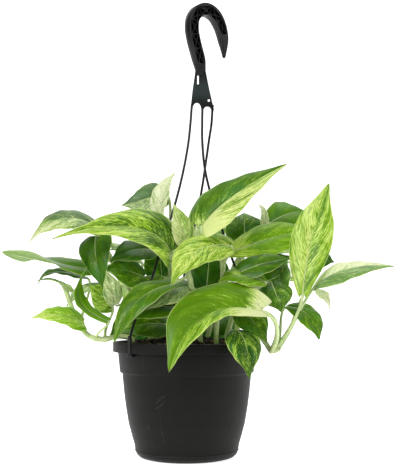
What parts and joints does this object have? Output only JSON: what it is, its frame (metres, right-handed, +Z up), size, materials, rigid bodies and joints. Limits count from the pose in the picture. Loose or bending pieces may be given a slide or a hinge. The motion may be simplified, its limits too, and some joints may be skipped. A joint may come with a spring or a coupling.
{
  "type": "potted pothos plant",
  "caption": "Trailing plant with heart-shaped cream-marbled leaves in a round flanged pot, on a stiff hook-topped hanger with long thin arms clipped under the pot's flange.",
  "frame": {"origin": "middle of the pot's foot, on the surface it stands on", "axes": "+Z up along the pot's axis, +X to the right and +Y to the back as seen from the pictured side"},
  "size_m": [0.397, 0.2524, 0.4787],
  "materials": {
    "pot_plastic": "moulded, fine matt",
    "hanger_plastic": "moulded, slight sheen",
    "potting_mix": "crumbly, matt",
    "leaf": "smooth and waxy, marbled cream on green"
  },
  "bodies": {
    "root": {"pot": "pot_plastic", "hanger": "hanger_plastic", "potting_mix": "potting_mix", "stem_front_left": "leaf", "stem_centre": "leaf", "stem_front_right": "leaf", "stem_left_high": "leaf", "stem_left_mid": "leaf", "stem_left_low": "leaf", "stem_right_low": "leaf", "stem_right_mid": "leaf", "stem_right_high": "leaf", "stem_back_left": "leaf", "stem_back": "leaf", "stem_back_right": "leaf"}
  },
  "joints": []
}
